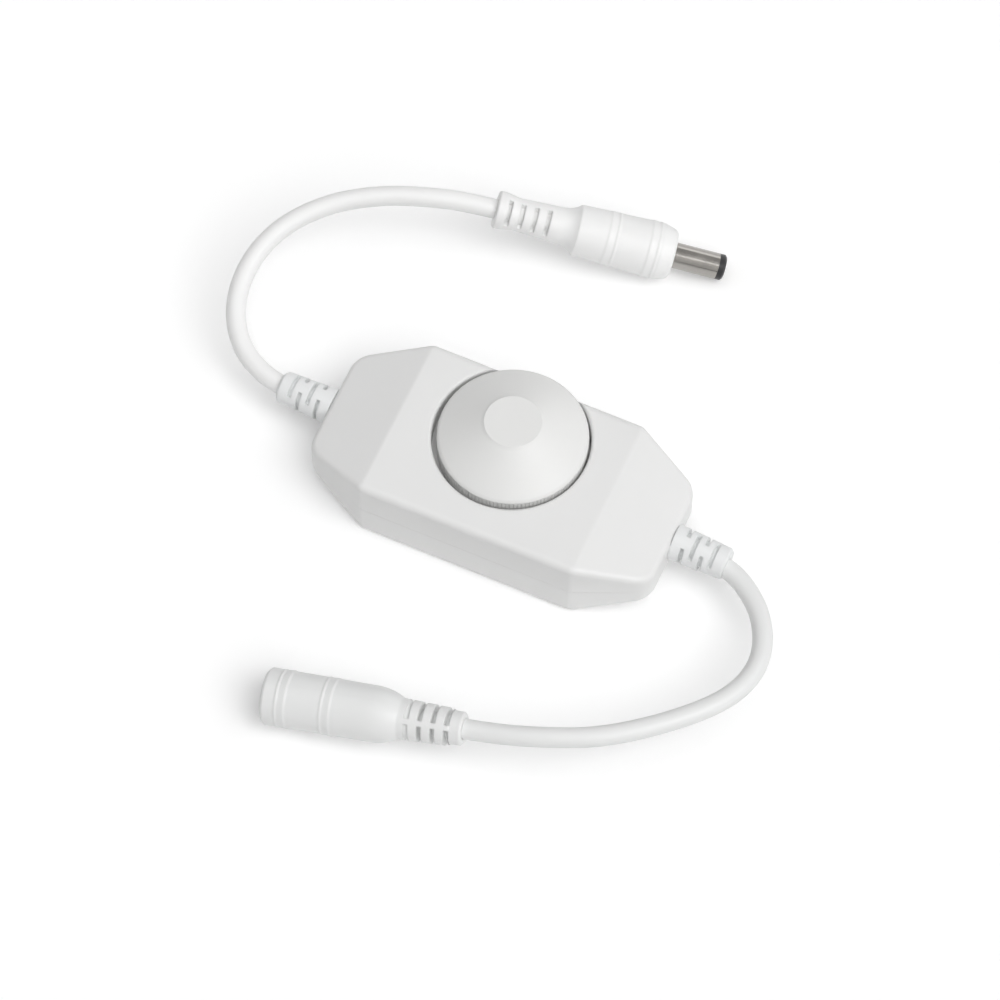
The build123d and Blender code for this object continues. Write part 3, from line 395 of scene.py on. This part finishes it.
def turned_marks_group():
    """Fine marks round an axis, from turning or drawing, with a light tarnish."""
    found = bpy.data.node_groups.get("turned_marks")
    if found:
        return found
    group, inside, outside = open_group("turned_marks", (
        ("Vector", "NodeSocketVector", None),
        ("Colour", COLOUR, (0.6, 0.6, 0.6, 1)),
        ("Tarnish", NUMBER, 0.12),
        ("Roughness", NUMBER, 0.3),
        ("Roughness drift", NUMBER, 0.15),
    ), (("Colour", COLOUR), ("Roughness", NUMBER), ("Height", NUMBER)))
    place = inside.outputs["Vector"]
    rings = noise(group, scaled(group, place, MARK_STRETCH), TURNED_RINGS, detail=4.0)
    cloud = sum_of(group, "SUBTRACT", noise(group, place, TARNISH_CLOUDS, detail=4.0), 0.5)
    shade = sum_of(group, "MULTIPLY_ADD", cloud, inside.outputs["Tarnish"], 1.0)
    feed(group, outside.inputs["Colour"], scaled(group, inside.outputs["Colour"], shade))
    uneven = sum_of(group, "ADD", cloud, sum_of(group, "SUBTRACT", rings, 0.5))
    feed(group, outside.inputs["Roughness"],
         sum_of(group, "MULTIPLY_ADD", uneven, inside.outputs["Roughness drift"],
                inside.outputs["Roughness"]))
    feed(group, outside.inputs["Height"], rings)
    return group


def finish_surface(tree, shader, height, depth, strength, softness):
    """Feed the shader's normal from a height, and make the edges look softly rounded."""
    bump = tree.nodes.new("ShaderNodeBump")
    bump.inputs["Distance"].default_value = depth
    bump.inputs["Strength"].default_value = strength
    feed(tree, bump.inputs["Height"], height)
    if softness:
        rounded = tree.nodes.new("ShaderNodeBevel")
        rounded.samples = EDGE_SAMPLES
        rounded.inputs["Radius"].default_value = softness
        feed(tree, bump.inputs["Normal"], rounded.outputs["Normal"])
    feed(tree, shader.inputs["Normal"], bump.outputs["Normal"])


def place_group(tree, group, values):
    """The group's node in a material, with the material's own values."""
    node = tree.nodes.new("ShaderNodeGroup")
    node.node_tree = group
    for name, value in values.items():
        feed(tree, node.inputs[name], value)
    return node


def moulded_plastic(name, colour, roughness, grain_size=2500, grain_depth=0.25, softness=0.0,
                    specks=0.0):
    """Injection-moulded plastic with a fine grain, faint sink waves and a few specks."""
    material, tree, shader = new_material(name)
    grain = place_group(tree, moulded_grain_group(), {
        "Colour": (*colour, 1), "Grain size": grain_size, "Roughness": roughness,
        "Grain depth": grain_depth})
    tint = grain.outputs["Colour"]
    if specks:
        tint = place_group(tree, pigment_specks_group(), {
            "Colour": tint, "Darkness": specks}).outputs["Colour"]
    feed(tree, shader.inputs["Base Color"], tint)
    feed(tree, shader.inputs["Roughness"], grain.outputs["Roughness"])
    finish_surface(tree, shader, grain.outputs["Height"], *GRAIN_RELIEF, softness)
    return material


def metal(name, colour, roughness, axis=(0, 0, 1)):
    """Turned, drawn or plated metal, with its marks running round the axis."""
    material, tree, shader = new_material(name)
    turn = tree.nodes.new("ShaderNodeMapping")
    turn.inputs["Rotation"].default_value = Vector(axis).rotation_difference((0, 0, 1)).to_euler()
    feed(tree, turn.inputs["Vector"], object_place(tree))
    marks = place_group(tree, turned_marks_group(), {
        "Vector": turn.outputs["Vector"], "Colour": (*colour, 1), "Roughness": roughness})
    feed(tree, shader.inputs["Base Color"], marks.outputs["Colour"])
    feed(tree, shader.inputs["Roughness"], marks.outputs["Roughness"])
    shader.inputs["Metallic"].default_value = 1.0
    finish_surface(tree, shader, marks.outputs["Height"], *MARK_RELIEF)
    return material


def board_laminate():
    """Green solder mask over copper tracks, which show as paler raised lines."""
    material, tree, shader = new_material("solder_mask")
    place = object_place(tree)
    cells = tree.nodes.new("ShaderNodeTexVoronoi")
    cells.feature = "DISTANCE_TO_EDGE"
    feed(tree, cells.inputs["Scale"], TRACK_CELLS)
    feed(tree, cells.inputs["Vector"], scaled(tree, place, FLATTENED))
    track = sum_of(tree, "LESS_THAN", cells.outputs["Distance"], TRACK_WIDTH)
    weave = sum_of(tree, "MULTIPLY_ADD", noise(tree, place, GLASS_WEAVE), 0.25, 0.875)
    green = mix_colour(tree, track, (0.006, 0.075, 0.03, 1), (0.015, 0.15, 0.055, 1))
    feed(tree, shader.inputs["Base Color"], scaled(tree, green, weave))
    feed(tree, shader.inputs["Roughness"], sum_of(tree, "MULTIPLY_ADD", weave, 0.2, 0.08))
    finish_surface(tree, shader, track, *TRACK_RELIEF)
    return material


def paper_laminate():
    """Brown phenolic paper with its fibres showing."""
    material, tree, shader = new_material("pot_phenolic")
    place = scaled(tree, object_place(tree), FIBRE_STRETCH)
    fibres = noise(tree, place, PAPER_FIBRES, detail=5.0)
    brown = mix_colour(tree, fibres, (0.10, 0.04, 0.015, 1), (0.26, 0.13, 0.055, 1))
    feed(tree, shader.inputs["Base Color"], brown)
    shader.inputs["Roughness"].default_value = 0.55
    finish_surface(tree, shader, fibres, *FIBRE_RELIEF)
    return material


def dress(material, *names):
    """Give the CAD nodes with these names the material."""
    for name in names:
        mesh = nodes[name].data
        mesh.materials.clear()
        mesh.materials.append(material)


# Pieces that geometry nodes repeat

def open_geometry_tree(name, inputs):
    """A geometry node tree with named number inputs and a material, and its end nodes."""
    tree = bpy.data.node_groups.new(name, "GeometryNodeTree")
    face = tree.interface
    face.new_socket("Geometry", in_out="INPUT", socket_type="NodeSocketGeometry")
    for label, default in inputs:
        socket = face.new_socket(label, in_out="INPUT", socket_type=NUMBER)
        socket.default_value = default
    face.new_socket("Material", in_out="INPUT", socket_type="NodeSocketMaterial")
    face.new_socket("Geometry", in_out="OUTPUT", socket_type="NodeSocketGeometry")
    return tree, tree.nodes.new("NodeGroupInput"), tree.nodes.new("NodeGroupOutput")


def repeat_on_points(tree, inside, outside, piece):
    """End the tree: the piece on every point of its mesh, realized and given its material."""
    spread = tree.nodes.new("GeometryNodeInstanceOnPoints")
    real = tree.nodes.new("GeometryNodeRealizeInstances")
    dressed = tree.nodes.new("GeometryNodeSetMaterial")
    feed(tree, spread.inputs["Points"], inside.outputs["Geometry"])
    feed(tree, spread.inputs["Instance"], piece)
    feed(tree, real.inputs["Geometry"], spread.outputs["Instances"])
    feed(tree, dressed.inputs["Geometry"], real.outputs["Geometry"])
    feed(tree, dressed.inputs["Material"], inside.outputs["Material"])
    feed(tree, outside.inputs["Geometry"], dressed.outputs["Geometry"])


def thread_tree():
    """A screw's helical thread, standing on each point."""
    tree, inside, outside = open_geometry_tree("screw_thread", (
        ("Radius", 1.3 * MM), ("Length", 8.0 * MM), ("Turns", 8.0), ("Ridge", 0.16 * MM)))
    helix = tree.nodes.new("GeometryNodeCurveSpiral")
    helix.inputs["Resolution"].default_value = THREAD_STEPS
    for socket, name in (("Start Radius", "Radius"), ("End Radius", "Radius"),
                         ("Height", "Length"), ("Rotations", "Turns")):
        feed(tree, helix.inputs[socket], inside.outputs[name])
    ridge = tree.nodes.new("GeometryNodeCurvePrimitiveCircle")
    ridge.inputs["Resolution"].default_value = 4
    feed(tree, ridge.inputs["Radius"], inside.outputs["Ridge"])
    sweep = tree.nodes.new("GeometryNodeCurveToMesh")
    sweep.inputs["Fill Caps"].default_value = True
    feed(tree, sweep.inputs["Curve"], helix.outputs["Curve"])
    feed(tree, sweep.inputs["Profile Curve"], ridge.outputs["Curve"])
    repeat_on_points(tree, inside, outside, sweep.outputs["Mesh"])
    return tree


def pad_tree():
    """A flat tinned ring pad, lying round each point."""
    tree, inside, outside = open_geometry_tree("ring_pad", (
        ("Radius", 1.9 * MM), ("Width", 0.4 * MM)))
    ring = tree.nodes.new("GeometryNodeCurvePrimitiveCircle")
    ring.inputs["Resolution"].default_value = PAD_STEPS
    feed(tree, ring.inputs["Radius"], inside.outputs["Radius"])
    section = tree.nodes.new("GeometryNodeCurvePrimitiveQuadrilateral")
    feed(tree, section.inputs["Width"], inside.outputs["Width"])
    section.inputs["Height"].default_value = PAD_THICKNESS
    sweep = tree.nodes.new("GeometryNodeCurveToMesh")
    feed(tree, sweep.inputs["Curve"], ring.outputs["Curve"])
    feed(tree, sweep.inputs["Profile Curve"], section.outputs["Curve"])
    repeat_on_points(tree, inside, outside, sweep.outputs["Mesh"])
    return tree


def grow_piece(name, points, tree, values, material):
    """Run the tree on the points and keep its result as one plain piece of the housing's body."""
    mesh = bpy.data.meshes.new(name + "_points")
    mesh.from_pydata(points, [], [])
    carrier = bpy.data.objects.new(name + "_points", mesh)
    bpy.context.scene.collection.objects.link(carrier)
    modifier = carrier.modifiers.new("repeat", "NODES")
    modifier.node_group = tree
    for item in tree.interface.items_tree:
        if item.in_out == "INPUT" and item.name in values:
            modifier[item.identifier] = values[item.name]
        if item.in_out == "INPUT" and item.name == "Material":
            modifier[item.identifier] = material
    graph = bpy.context.evaluated_depsgraph_get()
    plain = bpy.data.meshes.new_from_object(carrier.evaluated_get(graph))
    if not plain.polygons:
        raise RuntimeError(f"{name} came out empty")
    plain.name = name
    bpy.data.objects.remove(carrier)
    piece = bpy.data.objects.new(name, plain)
    bpy.context.scene.collection.objects.link(piece)
    outward(piece)
    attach(piece, STATIC_BODY)


def outward(piece):
    """Merge doubles and turn every face outwards."""
    work = bmesh.new()
    work.from_mesh(piece.data)
    bmesh.ops.remove_doubles(work, verts=work.verts, dist=MERGE_DISTANCE)
    bmesh.ops.recalc_face_normals(work, faces=work.faces)
    work.to_mesh(piece.data)
    work.free()


def four_corners(low, high, inset, height):
    """The four points set in from the corners of a node's box, at one height."""
    return [(x, y, height) for x in (low[0] + inset, high[0] - inset)
            for y in (low[1] + inset, high[1] - inset)]


def lay_cord(name, route, diameter, material):
    """A cord on one smooth spline through its route."""
    curve = bpy.data.curves.new(name, "CURVE")
    curve.dimensions = "3D"
    curve.resolution_u = BEND_STEPS
    curve.bevel_depth = diameter / 2
    curve.bevel_resolution = ROUND_STEPS
    curve.use_fill_caps = True
    spline = curve.splines.new("NURBS")
    spline.points.add(len(route) - 1)
    for point, place in zip(spline.points, route):
        point.co = (*place, 1)
    spline.order_u = 3
    spline.use_endpoint_u = True
    spline.use_smooth = True
    cord = bpy.data.objects.new(name, curve)
    bpy.context.scene.collection.objects.link(cord)
    curve.materials.append(material)
    return cord


class DIMMER_OT_cords(bpy.types.Operator):
    """Lay the two cords along their routes"""

    bl_idname = "dimmer.cords"
    bl_label = "Cords"

    def execute(self, context):
        look = settings()
        for name, colour, route, exit_point, far_nodes, length in (
            ("output_cord", look.output_colour, OUTPUT_ROUTE, OUTPUT_EXIT, PLUG_NODES,
             OUTPUT_LENGTH),
            # The socket side's darker colour is painted shade for the weaker light on that side
            ("input_cord", look.input_colour, INPUT_ROUTE, INPUT_EXIT, SOCKET_NODES,
             INPUT_LENGTH),
        ):
            jacket = moulded_plastic(name + "_jacket", colour, roughness=0.36, grain_size=1800,
                                     grain_depth=0.15)
            cord = lay_cord(name + "_flex", route, look.cord_diameter, jacket)
            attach(cord, STATIC_BODY)
            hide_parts(name)
        return {"FINISHED"}


class DIMMER_OT_knob(bpy.types.Operator):
    """Shape the knob's flank to one straight cone with a softly rounded rim"""

    bl_idname = "dimmer.knob"
    bl_label = "Knob"

    def execute(self, context):
        look = settings()
        mesh = nodes["knob"].data.copy()
        mesh.name = "knob_bell"
        given_normals = mesh.attributes.get("custom_normal")
        if given_normals:
            mesh.attributes.remove(given_normals)
        knob = bpy.data.objects.new("knob_bell", mesh)
        context.scene.collection.objects.link(knob)
        outward(knob)
        low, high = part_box("knob")
        centre = Vector(((low[0] + high[0]) / 2, (low[1] + high[1]) / 2))
        crown_edge = high[2] - CROWN_CHAMFER
        for vertex in mesh.vertices:
            radius = (vertex.co.xy - centre).length
            rise = vertex.co.z - low[2]
            roof = CAVITY_RIM_RISE + (CAVITY_RADIUS - radius) * CAVITY_SLOPE
            outer = radius > CAVITY_RADIUS + MOUTH_MARGIN or rise > roof + ROOF_MARGIN
            if rise > RIM_RISE and outer and radius > CROWN_RADIUS:
                past = max(0.0, radius - (KNOB_RADIUS - RIM_ROUNDING))
                vertex.co.z = (crown_edge - (radius - CROWN_RADIUS) * look.knob_slope
                               - past ** 2 / (2 * RIM_ROUNDING))
        mesh.update()
        mesh.shade_smooth()
        mesh.set_sharp_from_angle(angle=math.radians(CRISP_ANGLE))
        mesh.materials.clear()
        mesh.materials.append(moulded_plastic("knob_plastic", look.knob_colour, roughness=0.42,
                                              softness=look.knob_softness, specks=0.25))
        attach(knob, DIAL_BODY)
        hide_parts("knob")
        return {"FINISHED"}


class DIMMER_OT_mouldings(bpy.types.Operator):
    """Finish the shells, the soft mouldings and the black mouldings"""

    bl_idname = "dimmer.mouldings"
    bl_label = "Mouldings"

    def execute(self, context):
        look = settings()
        dress(moulded_plastic("housing_plastic", look.housing_colour, roughness=0.36,
                              softness=look.edge_softness, specks=0.35),
              "upper_housing", "lower_housing")
        for name, colour, *pieces in (
            ("plug_pvc", look.output_colour, "plug_moulding"),
            # The socket's darker colour is painted shade for the weaker light on that side
            ("socket_pvc", look.input_colour, "socket_moulding"),
            ("relief_pvc", look.relief_colour, "input_strain_relief", "output_strain_relief"),
        ):
            dress(moulded_plastic(name, colour, roughness=0.38, grain_depth=0.15,
                                  softness=look.soft_edge_softness), *pieces)
        dress(moulded_plastic("black_plastic", (0.02, 0.02, 0.022), roughness=0.32,
                              softness=0.1 * MM),
              "plug_insulator", "socket_insert", "pot_rotor", "capacitor_foot")
        return {"FINISHED"}


class DIMMER_OT_electronics(bpy.types.Operator):
    """Finish the circuit board, the potentiometer and all they carry"""

    bl_idname = "dimmer.electronics"
    bl_label = "Electronics"

    def execute(self, context):
        dress(board_laminate(), "circuit_board")
        dress(paper_laminate(), "pot_base")
        dress(moulded_plastic("carbon_track", (0.015, 0.015, 0.016), roughness=0.5,
                              grain_size=9000, grain_depth=0.6), "pot_track")
        dress(moulded_plastic("chip_epoxy", (0.025, 0.025, 0.027), roughness=0.55,
                              grain_size=6000, grain_depth=0.6, softness=0.05 * MM),
              "power_transistor", "timer_chip", "steering_diodes", "chip_resistors")
        dress(moulded_plastic("chip_ceramic", (0.42, 0.3, 0.17), roughness=0.5,
                              grain_size=7000, softness=0.05 * MM), "chip_capacitors")
        dress(moulded_plastic("core_red", (0.5, 0.02, 0.015), roughness=0.35),
              "input_positive_core", "output_positive_core")
        dress(moulded_plastic("core_black", (0.015, 0.015, 0.015), roughness=0.35),
              "input_negative_core", "output_negative_core")
        low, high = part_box("solder_joints")
        board_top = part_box("circuit_board")[1][2]
        rings = four_corners(low, high, JOINT_RADIUS, board_top + PAD_LIFT)
        grow_piece("solder_ring_pads", rings, pad_tree(), {"Radius": JOINT_RADIUS + PAD_OVERHANG},
                   metal("pad_tin", (0.66, 0.62, 0.52), roughness=0.32))
        return {"FINISHED"}


class DIMMER_OT_metalwork(bpy.types.Operator):
    """Finish the contacts, leads, can and shaft"""

    bl_idname = "dimmer.metalwork"
    bl_label = "Metalwork"

    def execute(self, context):
        mounts = {mount["name"]: mount for mount in frame["record"]["mounts"]}
        plug_axis, pin_axis = mounts["plug_barrel"]["axis"], mounts["socket_pin"]["axis"]
        dress(metal("plug_nickel", (0.38, 0.365, 0.345), roughness=0.2, axis=plug_axis),
              "plug_barrel")
        dress(metal("pin_nickel", (0.66, 0.64, 0.60), roughness=0.2, axis=pin_axis),
              "socket_centre_pin")
        dress(metal("contact_brass", (0.72, 0.48, 0.18), roughness=0.28, axis=plug_axis),
              "plug_inner_contact", "socket_spring", "pot_wiper")
        dress(metal("pot_steel", (0.5, 0.5, 0.5), roughness=0.35), "pot_cover", "pot_shaft")
        dress(metal("tinned_copper", (0.62, 0.61, 0.58), roughness=0.3),
              "pot_terminals", "transistor_leads", "timer_chip_legs", "solder_joints")
        dress(metal("can_aluminium", (0.6, 0.6, 0.61), roughness=0.3), "smoothing_capacitor")
        return {"FINISHED"}


class DIMMER_OT_screws(bpy.types.Operator):
    """Finish the housing screws and cut their threads"""

    bl_idname = "dimmer.screws"
    bl_label = "Housing screws"

    def execute(self, context):
        steel = metal("screw_zinc", (0.48, 0.48, 0.47), roughness=0.35)
        dress(steel, "housing_screws")
        low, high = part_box("housing_screws")
        pitch = settings().thread_pitch
        length = THREAD_TURNS * pitch
        foot = high[2] - length - THREAD_TIP
        grow_piece("screw_threads", four_corners(low, high, HEAD_RADIUS, foot), thread_tree(),
                   {"Length": length, "Turns": float(THREAD_TURNS)}, steel)
        return {"FINISHED"}


def soft_light(name, azimuth, elevation, spread, share):
    """A broad soft light from one direction, which gives its share of a plain light level."""
    light = bpy.data.lights.new(name, "SUN")
    light.angle = math.radians(spread)
    light.energy = math.pi * share
    lamp = bpy.data.objects.new(name, light)
    bpy.context.scene.collection.objects.link(lamp)
    turn, lift = math.radians(azimuth), math.radians(elevation)
    toward = Vector((math.cos(turn) * math.cos(lift), math.sin(turn) * math.cos(lift),
                     math.sin(lift)))
    lamp.rotation_mode = "QUATERNION"
    lamp.rotation_quaternion = (-toward).to_track_quat("-Z", "Y")


def seen_directly(tree):
    """One for rays from the camera, a reflection or a transmission, and zero for the rest."""
    path = tree.nodes.new("ShaderNodeLightPath")
    share = sum_of(tree, "MAXIMUM", path.outputs["Is Camera Ray"], path.outputs["Is Glossy Ray"])
    return sum_of(tree, "MAXIMUM", share, path.outputs["Is Transmission Ray"])


class DIMMER_OT_studio(bpy.types.Operator):
    """Set up the camera, floor, lights and surroundings"""

    bl_idname = "dimmer.studio"
    bl_label = "Studio"

    def execute(self, context):
        look = studio()
        scene = context.scene
        place_camera(look)
        lay_floor(look)
        for name, azimuth, elevation, spread, share in STUDIO_LIGHTS:
            soft_light(name, azimuth, elevation, spread, share * look.light_level)
        for name, corners, brightness in REFLECTION_CARDS:
            hang_card(name, corners, brightness)
        surround(look)
        scene.view_settings.view_transform = "Standard"
        return {"FINISHED"}


def place_camera(look):
    """The camera at the photograph's angle and distance."""
    azimuth, elevation = look.azimuth, look.elevation
    right = Vector((math.cos(azimuth), math.sin(azimuth), 0))
    back = Vector((math.sin(azimuth) * math.cos(elevation),
                   -math.cos(azimuth) * math.cos(elevation), math.sin(elevation)))
    up = back.cross(right)
    data = bpy.data.cameras.new("photo_camera")
    data.lens = look.lens
    data.sensor_width = SENSOR_WIDTH
    data.clip_start, data.clip_end = NEAREST_SEEN, FARTHEST_SEEN
    camera = bpy.data.objects.new("photo_camera", data)
    bpy.context.scene.collection.objects.link(camera)
    camera.matrix_world = Matrix((
        (right.x, up.x, back.x, 0),
        (right.y, up.y, back.y, 0),
        (right.z, up.z, back.z, 0),
        (0, 0, 0, 1),
    ))
    camera.location = back * look.distance - right * SHIFT_RIGHT - up * SHIFT_UP
    bpy.context.scene.camera = camera


def lay_floor(look):
    """A wide pale floor that looks white where it is lit and keeps soft shadows."""
    mesh = bpy.data.meshes.new("floor")
    half = FLOOR_SIZE / 2
    mesh.from_pydata([(-half, -half, 0), (half, -half, 0), (half, half, 0), (-half, half, 0)],
                     [], [(0, 1, 2, 3)])
    floor = bpy.data.objects.new("floor", mesh)
    bpy.context.scene.collection.objects.link(floor)
    floor.location.z = -FLOOR_GAP
    material, tree, shader = new_material("floor_paper")
    tint = mix_colour(tree, noise(tree, object_place(tree), FLOOR_MOTTLE),
                      (0.895, 0.895, 0.895, 1), (0.905, 0.905, 0.905, 1))
    feed(tree, shader.inputs["Base Color"], tint)
    shader.inputs["Roughness"].default_value = 0.95
    shader.inputs["Specular IOR Level"].default_value = 0.0
    shader.inputs["Emission Color"].default_value = (1, 1, 1, 1)
    glow = sum_of(tree, "MULTIPLY", seen_directly(tree), look.floor_glow)
    feed(tree, shader.inputs["Emission Strength"], glow)
    mesh.materials.append(material)


def hang_card(name, corners, brightness):
    """A card that metal and gloss reflect, and that nothing else sees."""
    mesh = bpy.data.meshes.new(name)
    mesh.from_pydata(corners, [], [tuple(range(len(corners)))])
    card = bpy.data.objects.new(name, mesh)
    bpy.context.scene.collection.objects.link(card)
    material, _, shader = new_material(name)
    shader.inputs["Base Color"].default_value = (0, 0, 0, 1)
    shader.inputs["Emission Color"].default_value = (1, 0.99, 0.97, 1)
    shader.inputs["Emission Strength"].default_value = brightness
    mesh.materials.append(material)
    card.visible_camera = False
    card.visible_diffuse = False
    card.visible_transmission = False
    card.visible_shadow = False


def surround(look):
    """Pale surroundings, which are plain white where a ray sees them directly."""
    world = bpy.data.worlds.new("surroundings")
    world.use_nodes = True
    bpy.context.scene.world = world
    tree = world.node_tree
    tree.nodes.clear()
    output = tree.nodes.new("ShaderNodeOutputWorld")
    background = tree.nodes.new("ShaderNodeBackground")
    background.inputs["Color"].default_value = (1, 1, 1, 1)
    seen = seen_directly(tree)
    rest = 1.0 - look.world_strength
    feed(tree, background.inputs["Strength"],
         sum_of(tree, "MULTIPLY_ADD", seen, rest, look.world_strength))
    tree.links.new(background.outputs[0], output.inputs["Surface"])


class DIMMER_PT_panel(bpy.types.Panel):
    """The dimmer's pieces and settings"""

    bl_idname = "DIMMER_PT_panel"
    bl_label = "Rotary dimmer"
    bl_space_type = "VIEW_3D"
    bl_region_type = "UI"
    bl_category = "Dimmer"

    def draw(self, context):
        column = self.layout.column()
        for group in (settings(), studio()):
            for name in group.__annotations__:
                column.prop(group, name)
        for operator in PIECES:
            column.operator(operator.bl_idname)


PIECES = (DIMMER_OT_cords, DIMMER_OT_knob, DIMMER_OT_mouldings, DIMMER_OT_electronics,
          DIMMER_OT_metalwork, DIMMER_OT_screws, DIMMER_OT_studio)
CLASSES = (DimmerSettings, StudioSettings, *PIECES, DIMMER_PT_panel)


def register():
    for cls in CLASSES:
        bpy.utils.register_class(cls)
    bpy.types.Scene.dimmer_settings = bpy.props.PointerProperty(type=DimmerSettings)
    bpy.types.Scene.dimmer_studio = bpy.props.PointerProperty(type=StudioSettings)


def unregister():
    del bpy.types.Scene.dimmer_studio
    del bpy.types.Scene.dimmer_settings
    for cls in reversed(CLASSES):
        bpy.utils.unregister_class(cls)


def main():
    register()
    for operator in PIECES:
        group, name = operator.bl_idname.split(".")
        getattr(getattr(bpy.ops, group), name)()


if __name__ == "__main__":
    main()
